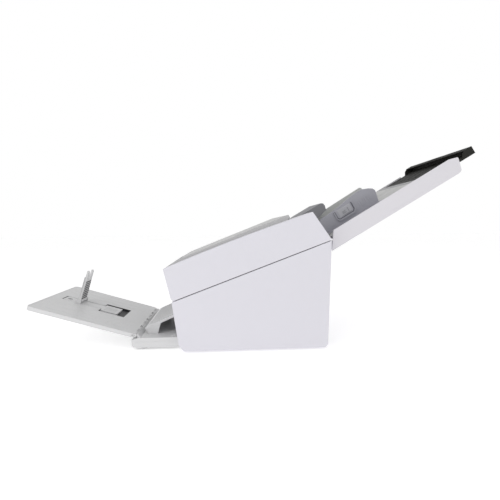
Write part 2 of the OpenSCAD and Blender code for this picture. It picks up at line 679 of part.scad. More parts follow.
// Release lever: finger plate, cross shaft and the two hooks that turn with it
hook_gap = 0.6;
hook_s = s_latch + hook_pin_r + hook_gap;
toe_p = p_hook - hook_pin_r - hook_gap;
module release_lever() color("slategray") on_path() {
    at(s_latch, p_latch) bar(3, -arm_x - 0.8, arm_x + 0.8);
    both_sides() side_slab(arm_x - plate_t - 4, arm_x - plate_t - 1.5) polygon([
        [s_latch - 5, p_latch - 4], [s_latch - 5, p_latch + 4], [s_latch + 5, p_latch + 4],
        [hook_s + 4, toe_p - 3.5], [s_latch - 2, toe_p - 3.5], [s_latch - 2, toe_p], [hook_s, toe_p],
        [hook_s, p_hook + 7]]);
    // Arm up to the finger plate in the slot of the top cover
    block([lever_x - 3, s_latch - 4, p_latch - 4], [lever_x + 3, s_latch + 4, p_lever - 1]);
    at(s_latch, p_lever) rotate([raised_ang - part_ang, 0, 0])
        block([lever_x - lever_w / 2 + 1, -lever_l / 2 + lever_play, -2.5],
            [lever_x + lever_w / 2 - 1, lever_l / 2 - lever_play, 0]);
}

// ---- Feed hopper ----
hw = hopper_w / 2;
track_w0 = -7.5;                            // underside of the extension's groove ledge
module hopper_side_outline() polygon([
    [6, rim + 2], [hopper_l - 17, rim + 2.2], [hopper_l - 1, rim - 2.4], [hopper_l, rim - 5],
    [hopper_l - 5, hopper_floor + 4], [hopper_l - 8, hopper_floor + 1.2], [hopper_l - 13, hopper_floor],
    [-16, hopper_floor]]);
module hopper_tray() color("lavender") {
    difference() {
        on_hopper() {
            // Right wall with its rim, left wall level with the paper support
            side_slab(hw - side_t, hw) hopper_side_outline();
            mirror([1, 0, 0]) side_slab(hw - side_t, hw) intersection() {
                hopper_side_outline();
                translate([-hopper_l, -hopper_l]) square([3 * hopper_l, hopper_l + 2]);
            }
            // Closed underside and end walls
            block([-hw + side_t - 0.01, 22, hopper_floor], [hw - side_t + 0.01, hopper_l - 13, hopper_floor + 2.5]);
            side_slab(-hw + side_t - 0.01, hw - side_t + 0.01) polygon([
                [hopper_l - 13.01, hopper_floor], [hopper_l - 8, hopper_floor + 1.2],
                [hopper_l - 5, hopper_floor + 4], [hopper_l - 3.6, -6], [hopper_l - 6.4, -6],
                [hopper_l - 7.6, hopper_floor + 4.6], [hopper_l - 13.01, hopper_floor + 2.5]]);
            // Ledges that carry the extension
            both_sides() block([hw - side_t - 10, 30, track_w0 - 2], [hw - side_t + 0.01, hopper_l - 8, track_w0]);
            // Cleats and posts that carry the paper support
            both_sides() block([hw - side_t - 3.5, 30, -2], [hw - side_t + 0.01, support_l, 0]);
            both_sides() block([hw - side_t - 12, 24, hopper_floor + 2.49], [hw - side_t - 8, 28, -1.6]);
            // Rests under the racks and the pinion
            for (u = [slot_u - pinion_r - 5, slot_u + pinion_r + 3])
                both_sides() block([14, u, hopper_floor + 2.49], [20, u + 2, rack_w0 - 0.3]);
            translate([0, slot_u, hopper_floor + 2.49]) cylinder(r = 4, h = rack_w0 - 0.3 - hopper_floor - 2.49);
        }
        both_sides() translate([0, hopper_pivot[0], hopper_pivot[1]]) bar(hinge_r + 0.01, lug_x - 10, hw - 0.9);
        // Notches that let the extension's runners through the end wall
        on_hopper() both_sides() block([hw - side_t - 8.4, hopper_l - 9, track_w0], [hw - side_t - 5, hopper_l, -5]);
    }
}
slot_half = 5;
module paper_support() color("gainsboro") on_hopper() {
    difference() {
        block([-hw + side_t + fit, 3, 0], [hw - side_t - fit, support_l, 2]);
        both_sides() block([guide_x - guide_in - 6, slot_u - slot_half, -1], [guide_x + guide_out + 6, slot_u + slot_half, 3]);
    }
    // Edge flanges that drop to the posts and the pinion's plate
    both_sides() block([hw - side_t - 12, 24, -1.6], [hw - side_t - 8, 28, 0.01]);
    difference() {
        block([-14, slot_u - 18, -1.6], [14, slot_u + 18, 0.01]);
        translate([0, slot_u, -5]) cylinder(r = 2.4 + run, h = 10);
    }
}
module hopper_pins() color("silver") both_sides()
    translate([0, hopper_pivot[0], hopper_pivot[1]]) bar(hinge_r, lug_x - 6.2, hw - 1.2);

// Side guide: finger fence, foot through the slot and toothed rack under the support
rack_w1 = -2.4;
rack_w0 = -6.4;
rack_y = pinion_r + 1.85;
rack_end = guide_x + 5;                     // outer end of the right rack
rack_len = ceil((rack_end + guide_out + 8) / tooth_pitch) * tooth_pitch + rack_end % tooth_pitch;
rack_teeth_n = floor((rack_len - 2) / tooth_pitch);
foot_half = slot_half - 0.6;
module rack() {
    translate([rack_end - rack_len, rack_y]) square([rack_len, 3]);
    // A tooth lies at the middle of the hopper while the guide is at rest
    for (i = [0:rack_teeth_n - 1])
        translate([(i - ceil((rack_len - rack_end) / tooth_pitch) + 1) * tooth_pitch, rack_y])
            polygon([[-1.15, 0.01], [-0.45, -2.1], [0.45, -2.1], [1.15, 0.01]]);
}
// The right guide's top swells into a grip, the left guide runs straight and longer
right_top = [[fence_l - 82, fence_h + 5], [fence_l - 45, fence_h + 11], [fence_l - 32, fence_h + 12],
    [fence_l - 21, fence_h + 10.5], [fence_l - 10, fence_h + 6], [fence_l - 2, fence_h + 1], [fence_l + 1, fence_h - 5],
    [fence_l - 3, 8], [fence_l - 6, 2.5]];
left_top = [[fence_l + 17, fence_h + 6], [fence_l + 21, fence_h + 3], [fence_l + 22, fence_h - 3], [fence_l + 19, 2.5]];
// rack_side is 1 for the rack above the pinion and -1 for the one below it
module side_guide(rack_side, top) {
    difference() {
        union() {
            // Fence with a rounded inner end
            side_slab(guide_x - 1.5, guide_x + 1.5) polygon(concat([
                [2.6, 2.5], [1, 18], [3.6, fence_h - 4], [8, fence_h + 1.4], [14, fence_h + 3], [28, fence_h + 3]], top));
            // Sole on the paper support
            block([guide_x - 1.5, 4, 2.5], [guide_x + 16, fence_l, 4.5]);
            block([guide_x + 2, slot_u - foot_half, rack_w1 - 0.01], [guide_x + 5, slot_u + foot_half, 2.6]);
            // Lip around the finger recess
            side_slab(guide_x + 1.49, guide_x + 4.4) polygon([
                [38, fence_h], [38, 17], [43, 11], [78, 11], [84, 17], [84, fence_h + 2]]);
        }
        side_slab(guide_x + 1.6, guide_x + 6) polygon([
            [40.4, fence_h + 9], [40.4, 17.8], [44, 13.4], [77, 13.4], [81.6, 18], [81.6, fence_h + 9]]);
    }
    translate([0, slot_u, rack_w0]) linear_extrude(rack_w1 - rack_w0) mirror([0, rack_side < 0 ? 1 : 0, 0]) {
        rack();
        // Strap that ties the rack to the foot
        translate([guide_x + 2, -foot_half]) square([3, rack_y + 1 + foot_half]);
    }
}
module right_side_guide() color("slategray") on_hopper() side_guide(1, right_top);
module left_side_guide() color("slategray") on_hopper() mirror([1, 0, 0]) side_guide(-1, left_top);
module guide_pinion() color("ivory") on_hopper() translate([0, slot_u, rack_w0]) {
    linear_extrude(rack_w1 - rack_w0) union() {
        circle(r = pinion_r - 1.2, $fn = 64);
        for (i = [0:pinion_teeth - 1])
            rotate((i + 0.5) * 360 / pinion_teeth) translate([0, pinion_r - 1.4]) polygon([
                [-1.35, 0], [-0.5, 2.4], [0.5, 2.4], [1.35, 0]]);
    }
    cylinder(r = 2.4, h = -rack_w0 - 0.1);
}
ext_in = 145;                               // inner end of the extension under the support
module tray_extension() color("black") on_hopper() {
    ex1 = hopper_l + ext_out;
    half = hw - side_t - 0.8;
    wide_u = support_l + 20;
    block([-half + 4.2, ext_in, -3.6], [half - 4.2, wide_u + 0.01, -0.6]);
    block([-half, wide_u, -3.6], [half, ex1 - 0.01, -0.6]);
    both_sides() block([half - 7.2, ext_in + 5, track_w0 + 0.3], [half - 4.7, hopper_l - 14, -3.59]);
    both_sides() side_slab(half - 2.5, half) polygon([
        [ex1 - 26, -0.7], [ex1 - 21, rim - 2], [ex1 - 18, rim - 1], [ex1 - 15, rim + 1.5], [ex1, rim + 1.5],
        [ex1, -3.6], [ex1 - 26, -3.6]]);
    side_slab(-half, half) polygon([
        [ex1 - 3, -3.6], [ex1 + 0.6, -3.6], [ex1, rim], [ex1 - 1.5, rim + 1.5], [ex1 - 14, rim + 1.5],
        [ex1 - 15.5, rim], [ex1 - 14, rim - 1], [ex1 - 3, rim - 1]]);
}

// ---- Exit tray ----
module exit_base() color("gainsboro") {
    difference() {
        side_slab(-tray_half, tray_half) polygon([
            [-tray_hinge - 5, foot_h + 5], [-tray_hinge - 2, foot_h + 1.6], [-tray_hinge + 4, foot_h + 1],
            [front_y_at(foot_h + 12) - 2, foot_h + 1], [front_y_at(foot_h + 12) - 0.4, foot_h + 4],
            [front_y_at(base_top) - 0.4, base_top], [-tray_hinge + 8, base_top],
            [-tray_hinge + 2, base_top - 1.6], [-tray_hinge - 5.4, base_top - 3.4]]);
        side_slab(-tray_half + wall, tray_half - wall) polygon([
            [-tray_hinge + 2, 0], [-tray_hinge - 2, foot_h + 8], [-tray_hinge - 2, base_top - 7],
            [-tray_hinge + 8, base_top - wall], [front_y_at(base_top) - 4, base_top - wall],
            [front_y_at(foot_h + 14) - 4, foot_h + 8], [front_y_at(foot_h + 14) - 6, 0]]);
    }
    // Webs and pads that stand on the table
    for (x = [-84, 0, 84])
        block([x - 1.5, -tray_hinge + 4, foot_h + 1.2], [x + 1.5, -part_front + 4, base_top - wall + 0.01]);
    for (x = [-1, 1])
        translate([x * (tray_half - 14), -tray_hinge + 16, 0]) cylinder(r = 6, h = base_top - wall + 0.01);
    // Hinge knuckles
    for (x = knuckles)
        difference() {
            side_slab(x - knuckle_l / 2, x + knuckle_l / 2) hull() {
                translate([-tray_hinge, tray_hinge_z]) circle(r = plate_h / 2 - 0.9, $fn = 32);
                translate([-tray_hinge - 2, base_top - 4]) square([8, 1]);
            }
            translate([0, -tray_hinge, tray_hinge_z]) bar(1.6 + run, x - 20, x + 20);
        }
}
eye = plate_h / 2;
corner_r = 9;
track_in = 43;
track_out = 96.5;
neck_out = 177.4;
module exit_plate() color("whitesmoke") on_tray() {
    difference() {
        union() {
            block([-tray_half, eye + 1.2, -eye], [tray_half, plate_l - corner_r, eye]);
            block([-tray_half + corner_r, plate_l - corner_r - 1, -eye], [tray_half - corner_r, plate_l, eye]);
            for (x = [-1, 1])
                translate([x * (tray_half - corner_r), plate_l - corner_r, -eye]) cylinder(r = corner_r, h = 2 * eye);
            // Thin lip over the knuckles of the base
            block([-tray_half, 1.2, eye - 0.8], [tray_half, eye + 1.3, eye]);
            for (x = knuckles)
                both_hinge(x);
        }
        bar(1.6 - 0.01, -tray_half - 1, tray_half + 1);
        // Recess of the stopper's track
        block([-35, track_in, -eye + 1.6], [35, track_out, eye + 1]);
        block([-17, track_out - 0.1, -eye + 1.6], [17, neck_out, eye + 1]);
        // Hollow underside
        block([-tray_half + 5, 12, -eye - 1], [-42, plate_l - 12, eye - 2.4]);
        block([42, 12, -eye - 1], [tray_half - 5, plate_l - 12, eye - 2.4]);
    }
}
module both_hinge(x) for (k = [-1, 1])
    translate([x + k * (knuckle_l + 0.8), 0, 0]) {
        bar(eye, -knuckle_l / 2, knuckle_l / 2);
        block([-knuckle_l / 2, 0, -eye], [knuckle_l / 2, eye + 2, eye]);
    }
module tray_pin() color("silver") translate([0, -tray_hinge, tray_hinge_z]) for (x = knuckles)
    bar(1.6, x - 1.5 * knuckle_l - 0.4, x + 1.5 * knuckle_l + 0.4, 32);
module stopper_track() color("black") on_tray() difference() {
    union() {
        block([-34.8, track_in + 0.2, -eye + 1.6], [34.8, track_out - 0.2, eye - 0.4]);
        block([-16.8, track_out - 0.21, -eye + 1.6], [16.8, neck_out - 0.2, eye - 0.4]);
    }
    block([-33.4, track_in + 1.6, -eye + 3.1], [33.4, track_out - 1.4, eye + 1]);
    block([-15.6, track_out - 1.5, -eye + 3.1], [15.6, neck_out - 1.6, eye + 1]);
}
tongue_in = 60;
flap_w = eye + 3.6;                         // height of the flap's pivot
module stopper_slider() color("whitesmoke") on_tray() {
    difference() {
        union() {
            // Tongue and bar that run in the track
            block([-25, tongue_in, -eye + 3.4], [25, track_out - 2, eye - 0.2]);
            block([-15, track_out - 2.1, -eye + 3.4], [15, stopper_v + 34, eye - 0.2]);
            // Saddle of the stopper
            block([-23.4, stopper_v + 5, eye + 0.3], [23.4, stopper_v + 8, eye + 2.6]);
            block([-14, stopper_v + 4, eye - 0.4], [14, stopper_v + 9, eye + 0.4]);
            both_sides() block([20.6, stopper_v - 4, eye + 0.3], [23.4, stopper_v + 8, eye + 6.6]);
            translate([0, stopper_v, flap_w]) bar(1.5, -21, 21);
        }
        // Finger hole
        translate([0, stopper_v + 24, -10]) cylinder(r = 5.5, h = 30);
    }
    for (v = [tongue_in + 8:5:tongue_in + 28])
        block([-16, v, eye - 0.21], [16, v + 1.6, eye + 0.5]);
}
module stopper_flap() color("whitesmoke") on_tray() difference() {
    union() {
        translate([0, stopper_v, flap_w]) rotate([90, 0, 0]) translate([0, 0, -1.9]) linear_extrude(3.8)
            polygon([[-stopper_w / 2, 2.4], [-stopper_w / 2 + 3.5, stopper_h - 2], [-stopper_w / 2 + 6, stopper_h],
                [-12, stopper_h], [-10, stopper_h - 2], [0, stopper_h - 26], [10, stopper_h - 2], [12, stopper_h],
                [stopper_w / 2 - 6, stopper_h], [stopper_w / 2 - 3.5, stopper_h - 2], [stopper_w / 2, 2.4]]);
        translate([0, stopper_v, flap_w]) bar(2.9, -stopper_w / 2, stopper_w / 2);
    }
    translate([0, stopper_v, flap_w]) bar(1.5 + run, -30, 30);
}

base_tray();
front_cover();
rear_cover();
lower_left_cover();
lower_right_cover();
left_frame();
right_frame();
lower_paper_guide();
lower_scan_unit();
lower_scan_glass();
feed_shaft();
feed_roller();
transport_shaft();
transport_rollers();
second_shaft();
second_rollers();
exit_shaft();
exit_rollers();
shaft_bushes();
drive_motor();
motor_pulley();
drive_belts();
main_board();
power_inlet();
data_socket();
power_switch();
rubber_feet();
cover_screws();
exit_chute();
upper_left_cover();
upper_right_cover();
top_cover();
entry_hood();
upper_frame();
hinge_pins();
upper_paper_guide();
upper_scan_unit();
upper_scan_glass();
separation_roller();
transport_idlers();
second_idlers();
exit_idlers();
release_lever();
start_button();
stop_button();
menu_keys();
display_window();
hopper_tray();
paper_support();
hopper_pins();
left_side_guide();
right_side_guide();
guide_pinion();
tray_extension();
exit_base();
exit_plate();
tray_pin();
stopper_track();
stopper_slider();
stopper_flap();
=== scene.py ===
"""Sheet fed document scanner: finishes, small mouldings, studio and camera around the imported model."""

import json
import math

import bmesh
import bpy
from mathutils import Matrix, Vector


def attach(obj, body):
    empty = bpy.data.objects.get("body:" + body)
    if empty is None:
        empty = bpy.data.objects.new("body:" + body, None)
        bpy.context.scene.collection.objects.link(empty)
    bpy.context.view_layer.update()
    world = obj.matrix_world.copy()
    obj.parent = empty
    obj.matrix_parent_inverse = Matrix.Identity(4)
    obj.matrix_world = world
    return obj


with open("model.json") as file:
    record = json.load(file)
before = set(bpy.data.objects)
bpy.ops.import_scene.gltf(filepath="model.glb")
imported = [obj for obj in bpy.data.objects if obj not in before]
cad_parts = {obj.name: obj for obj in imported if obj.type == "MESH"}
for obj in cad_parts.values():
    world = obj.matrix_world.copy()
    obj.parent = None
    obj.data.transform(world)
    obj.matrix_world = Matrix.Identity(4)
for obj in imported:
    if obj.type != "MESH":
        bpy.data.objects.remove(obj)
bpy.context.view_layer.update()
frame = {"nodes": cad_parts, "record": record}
NODES = frame["nodes"]
MM = 0.001

# ---------------------------------------------------------------- places of the hinged and sloping frames, in mm
HOPPER_AT, HOPPER_SLOPE = (0, 165.0, 203.506), 30.6
TRAY_AT, TRAY_SLOPE = (0, -208.0, 26.0), 16.6
PANEL_AT, PANEL_SLOPE = (0, -149.5, 151.0), 29.97
TOP_AT, TOP_SLOPE = (0, -119.5, 168.3), 21.4


def sloped(at, degrees, turned=False):
    """Matrix from a sloping frame in millimetres to the row frame in metres; turned runs its second axis forwards."""
    m = Matrix.Translation(Vector(at) * MM) @ Matrix.Rotation(math.radians(degrees), 4, "X")
    if turned:
        m = m @ Matrix.Diagonal((1, -1, 1, 1))
    return m @ Matrix.Scale(MM, 4)


WORLD = Matrix.Scale(MM, 4)
HOPPER = sloped(HOPPER_AT, HOPPER_SLOPE)
TRAY = sloped(TRAY_AT, -TRAY_SLOPE, turned=True)
PANEL = sloped(PANEL_AT, PANEL_SLOPE)
TOP = sloped(TOP_AT, TOP_SLOPE)


# ---------------------------------------------------------------- shader maths
class Signal:
    """A number on a surface; arithmetic on it adds Math nodes."""

    def __init__(self, finish, socket):
        self.finish, self.socket = finish, socket

    def _math(self, operation, *values):
        return self.finish.add("ShaderNodeMath", {"operation": operation}, *values)

    def __add__(self, other):
        return self._math("ADD", self, other)

    def __radd__(self, other):
        return self._math("ADD", other, self)

    def __sub__(self, other):
        return self._math("SUBTRACT", self, other)

    def __rsub__(self, other):
        return self._math("SUBTRACT", other, self)

    def __mul__(self, other):
        return self._math("MULTIPLY", self, other)

    def __rmul__(self, other):
        return self._math("MULTIPLY", other, self)


class Finish:
    """One material: a principled surface whose sockets are set by name."""

    def __init__(self, name, colour, **constants):
        self.material = bpy.data.materials.new(name)
        self.material.use_nodes = True
        self.tree = self.material.node_tree
        self.tree.nodes.clear()
        self.surface = self.tree.nodes.new("ShaderNodeBsdfPrincipled")
        output = self.tree.nodes.new("ShaderNodeOutputMaterial")
        self.tree.links.new(self.surface.outputs[0], output.inputs["Surface"])
        self.colour = (*colour, 1.0)
        self.material.diffuse_color = self.colour
        self.set(**{"Base Color": self.colour}, **{k.replace("_", " "): v for k, v in constants.items()})
        self.place = self.add("ShaderNodeTexCoord", {}, output="Object")

    def put(self, socket, value):
        if isinstance(value, Signal):
            self.tree.links.new(value.socket, socket)
        else:
            socket.default_value = value

    def set(self, **values):
        for name, value in values.items():
            self.put(self.surface.inputs[name.replace("_", " ")], value)

    def add(self, kind, settings, *values, output=0, **named):
        """Adds a node: its settings first, then its sockets' values or links. Returns one of its outputs."""
        node = self.tree.nodes.new(kind)
        for name, value in settings.items():
            setattr(node, name, value)
        for socket, value in zip(node.inputs, values):
            self.put(socket, value)
        for name, value in named.items():
            self.put(node.inputs[name.replace("_", " ")], value)
        return Signal(self, node.outputs[output])

    def noise(self, scale, detail=2.0, roughness=0.5, place=None):
        return self.add("ShaderNodeTexNoise", {}, Vector=place or self.place, Scale=scale, Detail=detail,
                        Roughness=roughness)

    def tint(self, factor, low, high):
        """Colour that runs from low to high as factor goes from 0 to 1."""
        mix = self.tree.nodes.new("ShaderNodeMix")
        mix.data_type = "RGBA"
        self.put(mix.inputs["Factor"], factor)
        mix.inputs["A"].default_value = (*low, 1)
        mix.inputs["B"].default_value = (*high, 1)
        for out in mix.outputs:
            if out.type == "RGBA":
                return Signal(self, out)

    def bump(self, height, depth):
        return self.add("ShaderNodeBump", {}, Height=height, Distance=depth, Strength=1.0)


def shade(colour, factor):
    return tuple(min(1.0, c * factor) for c in colour)


def moulded(name, colour, rough=0.42, grain=2600, depth=0.00004, drift=0.025, scuff=0.05, **constants):
    """Injection moulded plastic: spark-eroded grain, slow drift of tone and faint handling marks."""
    f = Finish(name, colour, **constants)
    fine = f.noise(grain, 2.0, 0.55)
    slow = f.noise(9, 3.0, 0.6)
    marks = f.noise(70, 4.0, 0.7)
    f.set(Base_Color=f.tint(slow * 0.7 + marks * 0.3, shade(colour, 1 - drift), shade(colour, 1 + drift)),
          Roughness=rough + (fine - 0.5) * 0.12 + (marks - 0.5) * scuff,
          Normal=f.bump(fine, depth))
    return f.material


def ground_rubber(name, colour, grooves):
    """Rubber roller, ground round, with fine grooves along its shaft."""
    f = Finish(name, colour, Specular_IOR_Level=0.35)
    fine = f.noise(1800, 3.0, 0.6)
    rings = f.add("ShaderNodeTexWave", {"wave_type": "BANDS", "bands_direction": "X"}, Vector=f.place, Scale=grooves,
                  Distortion=0.6, Detail=2.0)
    f.set(Base_Color=f.tint(fine, shade(colour, 0.75), shade(colour, 1.3)), Roughness=0.72 + (fine - 0.5) * 0.2,
          Normal=f.bump(rings * 0.6 + fine * 0.4, 0.0001))
    return f.material


def steel(name, colour, rough, stretch, depth=0.00002):
    """Rolled or ground steel with marks drawn out along one axis."""
    f = Finish(name, colour, Metallic=1.0)
    drawn = f.add("ShaderNodeMapping", {}, Vector=f.place, Scale=stretch)
    marks = f.noise(300, 4.0, 0.65, drawn)
    slow = f.noise(30, 2.0)
    f.set(Base_Color=f.tint(slow, shade(colour, 0.9), shade(colour, 1.06)), Roughness=rough + (marks - 0.5) * 0.22,
          Normal=f.bump(marks, depth))
    return f.material


def circuit(name, colour):
    """Solder resist with copper tracks showing through it."""
    f = Finish(name, colour, Specular_IOR_Level=0.6)
    tracks = f.add("ShaderNodeTexBrick", {"offset": 0.35}, Vector=f.place, Scale=160.0, Color1=(0, 0, 0, 1),
                   Color2=(1, 1, 1, 1), Mortar=(0.5, 0.5, 0.5, 1), Mortar_Size=0.03, output=1)
    f.set(Base_Color=f.tint(tracks, colour, shade(colour, 1.9)), Roughness=0.35 + tracks * 0.1,
          Normal=f.bump(tracks, 0.00005))
    return f.material


def clear_glass(name, colour):
    f = Finish(name, colour, IOR=1.5)
    smear = f.noise(60, 3.0)
    f.set(Roughness=0.04 + smear * 0.05, Alpha=0.35 + (smear - 0.5) * 0.06)
    return f.material


def lamp(name, colour, strength):
    """Lit indicator: light comes through a frosted ring."""
    f = Finish(name, colour, Emission_Strength=strength)
    frost = f.noise(900, 2.0)
    f.set(Emission_Color=f.tint(frost, shade(colour, 0.85), shade(colour, 1.1)), Roughness=0.3 + frost * 0.15)
    return f.material


COVER = (0.69, 0.68, 0.73)
FINISHES = {
    "cover_white": moulded("cover plastic", COVER, 0.4),
    "panel_grey": moulded("top panel plastic", (0.53, 0.53, 0.53), 0.46),
    "hopper_white": moulded("hopper plastic", (0.68, 0.665, 0.70), 0.4),
    "support_grey": moulded("paper support plastic", (0.50, 0.50, 0.495), 0.45),
    "hood_grey": moulded("entry hood plastic", (0.20, 0.20, 0.215), 0.5, drift=0.05),
    "guide_grey": moulded("side guide plastic", (0.36, 0.36, 0.40), 0.42, drift=0.04),
    "extension_black": moulded("extension plastic", (0.024, 0.024, 0.022), 0.55, depth=0.00008, drift=0.2,
                               Specular_IOR_Level=0.1),
    "tray_grey": moulded("exit tray plastic", (0.66, 0.66, 0.665), 0.42),
    "inner_black": moulded("inner black plastic", (0.018, 0.018, 0.02), 0.5, depth=0.00006, drift=0.15),
    "key_grey": moulded("key plastic", (0.09, 0.095, 0.105), 0.3, grain=3600),
    "key_pale": moulded("start key plastic", (0.50, 0.51, 0.52), 0.28, grain=3600),
    "window": moulded("display window", (0.006, 0.007, 0.009), 0.08, grain=200, depth=0.00001),
    "rubber_dark": ground_rubber("roller rubber", (0.035, 0.035, 0.04), 120),
    "rubber_foot": ground_rubber("foot rubber", (0.03, 0.03, 0.03), 40),
    "steel": steel("zinc plated sheet", (0.55, 0.56, 0.58), 0.36, (1, 1, 12)),
    "ground_steel": steel("ground bar", (0.62, 0.62, 0.63), 0.24, (14, 1, 1)),
    "nylon": moulded("natural nylon", (0.68, 0.65, 0.56), 0.45, drift=0.05),
    "belt": ground_rubber("belt rubber", (0.012, 0.012, 0.012), 300),
    "board_green": circuit("circuit board", (0.01, 0.075, 0.03)),
    "motor_can": steel("motor can", (0.10, 0.10, 0.105), 0.42, (1, 10, 10)),
    "glass": clear_glass("scan glass", (0.75, 0.85, 0.86)),
}
SLOT_OF = {s["node"]: s["material_slot"] for s in frame["record"]["subparts"]}
EDGE_ROUND = {"cover_white": 1.3, "hopper_white": 1.2, "panel_grey": 0.9, "tray_grey": 0.9, "support_grey": 0.4,
              "hood_grey": 1.0, "guide_grey": 0.8, "extension_black": 0.8, "inner_black": 0.3, "key_grey": 0.5,
              "key_pale": 0.4, "window": 0.1, "rubber_foot": 0.6}
SHARPER = {"stopper_track": 0.25, "rubber_feet": 0.8, "exit_chute": 0.45, "stopper_slider": 0.5, "stopper_flap": 0.9,
           "base_tray": 0.5, "rear_cover": 0.6, "front_cover": 0.8, "paper_support": 0.3, "release_lever": 0.4}


# Painted light: the left side guide is the same plastic as the right one, given a paler colour that stands in for the
# light falling on its inner face.
PAINTED_LIGHT_FINISH = {"left_side_guide": moulded("left side guide plastic painted lighter", (0.52, 0.53, 0.52), 0.4)}


def round_edges(obj, width, segments=3, angle=30):
    """Softens an object's edges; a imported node's own mesh stays as it is."""
    weld = obj.modifiers.new("join", "WELD")
    weld.merge_threshold = 0.000002
    bevel = obj.modifiers.new("edge", "BEVEL")
    bevel.width = width * MM
    bevel.segments = segments
    bevel.limit_method = "ANGLE"
    bevel.angle_limit = math.radians(angle)
    bevel.use_clamp_overlap = True
    bevel.miter_outer = "MITER_ARC"
    bevel.harden_normals = False
    tidy = obj.modifiers.new("normals", "WEIGHTED_NORMAL")
    tidy.keep_sharp = False
    tidy.weight = 80


def finish_node(name, obj):
    slot = SLOT_OF[name]
    for i in range(max(1, len(obj.material_slots))):
        if not obj.material_slots:
            obj.data.materials.append(None)
        obj.material_slots[i].link = "OBJECT"
        obj.material_slots[i].material = PAINTED_LIGHT_FINISH.get(name, FINISHES[slot])
    width = SHARPER.get(name, EDGE_ROUND.get(slot))
    if width:
        round_edges(obj, width)


for node_name, node_obj in NODES.items():
    finish_node(node_name, node_obj)

# ---------------------------------------------------------------- small mouldings, in mm within their own frames
BAND = moulded("darker band of the paper support", (0.33, 0.33, 0.34), 0.45)
PRINT = moulded("printed marks", (0.07, 0.07, 0.08), 0.55, grain=900, depth=0.00001, drift=0.15)
# Painted shade: a dark line round the lip of each side guide's finger recess stands in for the shadow the lip casts.
RECESS_PAINTED_SHADE = moulded("shaded recess groove", (0.13, 0.13, 0.15), 0.6)
PALE_PAD = moulded("recess pad plastic", (0.43, 0.43, 0.46), 0.45)
PALE_PRINT = moulded("pale printed marks", (0.55, 0.55, 0.58), 0.5, grain=900, depth=0.00001)
CONTACT = steel("socket contacts", (0.75, 0.62, 0.32), 0.3, (8, 1, 1))
RING_LAMP = lamp("start ring", (0.62, 0.66, 0.66), 0.12)
BLUE_LAMP = lamp("display segments", (0.55, 0.72, 0.80), 0.9)


def beside(frame_matrix, x, mirrored=False):
    """Frame on a face that looks sideways at x: first and second axes run along the face, the third stands off it."""
    turned = Matrix(((0, 0, 1, x), (1, 0, 0, 0), (0, 1, 0, 0), (0, 0, 0, 1)))
    flip = Matrix.Diagonal((-1, 1, 1, 1)) if mirrored else Matrix.Identity(4)
    return frame_matrix @ flip @ turned


def rear_face(y):
    """Frame on a face that looks backwards at y: first axis along X, second up, third out of the face."""
    return WORLD @ Matrix(((1, 0, 0, 0), (0, 0, 1, y), (0, 1, 0, 0), (0, 0, 0, 1)))


class Moulding:
    """Ribs, pads and raised lines gathered into one piece."""

    def __init__(self, place):
        self.mesh, self.place = bmesh.new(), place

    def ring(self, points):
        return [self.mesh.verts.new(self.place @ Vector(p)) for p in points]

    def close(self, lower, upper):
        """Closed solid between two rings of equal count."""
        count = len(lower)
        self.mesh.faces.new(lower[::-1])
        self.mesh.faces.new(upper)
        for i in range(count):
            self.mesh.faces.new((lower[i], lower[(i + 1) % count], upper[(i + 1) % count], upper[i]))
        return self

    def prism(self, outline, low, high):
        return self.close(self.ring([(x, y, low) for x, y in outline]), self.ring([(x, y, high) for x, y in outline]))

    def pad(self, low, high, draft=0.0):
        """Block between two corners; draft draws its upper face in."""
        (x0, y0, z0), (x1, y1, z1) = low, high
        d = draft
        lower = self.ring([(x0, y0, z0), (x1, y0, z0), (x1, y1, z0), (x0, y1, z0)])
        upper = self.ring([(x0 + d, y0 + d, z1), (x1 - d, y0 + d, z1), (x1 - d, y1 - d, z1), (x0 + d, y1 - d, z1)])
        return self.close(lower, upper)

    def line(self, points, width, low, high, closed=False, draft=0.0):
        """Raised line of one width that follows points, with mitred corners."""
        count = len(points)
        sections = []
        for i, (x, y) in enumerate(points):
            before = points[i - 1] if closed or i else None
            after = points[(i + 1) % count] if closed or i < count - 1 else None
            runs = [Vector((x - before[0], y - before[1])).normalized()] if before else []
            runs += [Vector((after[0] - x, after[1] - y)).normalized()] if after else []
            along = sum(runs, Vector((0, 0))).normalized()
            reach = width / 2 / max(0.35, along.dot(runs[0]))
            side = Vector((-along.y, along.x))
            a, b = side * reach, side * (reach - draft)
            sections.append(self.ring([(x - a.x, y - a.y, low), (x + a.x, y + a.y, low),
                                       (x + b.x, y + b.y, high), (x - b.x, y - b.y, high)]))
        for i in range(count if closed else count - 1):
            one, two = sections[i], sections[(i + 1) % count]
            for k in range(4):
                self.mesh.faces.new((one[k], one[(k + 1) % 4], two[(k + 1) % 4], two[k]))
        if not closed:
            self.mesh.faces.new(sections[0][::-1])
            self.mesh.faces.new(sections[-1])
        return self

    def circle(self, middle, radius, width, low, high, sides=36, start=0, sweep=360):
        whole = sweep >= 360
        steps = sides if whole else sides + 1
        points = [(middle[0] + radius * math.cos(math.radians(start + sweep * i / sides)),
                   middle[1] + radius * math.sin(math.radians(start + sweep * i / sides))) for i in range(steps)]
        return self.line(points, width, low, high, closed=whole)

    def fit(self, name, body, slot, finish=None, edge=0.12):
        bmesh.ops.recalc_face_normals(self.mesh, faces=self.mesh.faces)
        mesh = bpy.data.meshes.new(name)
        self.mesh.to_mesh(mesh)
        self.mesh.free()
        mesh.materials.append(finish or FINISHES[slot])
        obj = bpy.data.objects.new(name, mesh)
        bpy.context.scene.collection.objects.link(obj)
        if edge:
            round_edges(obj, edge, segments=2)
        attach(obj, body)
        return obj


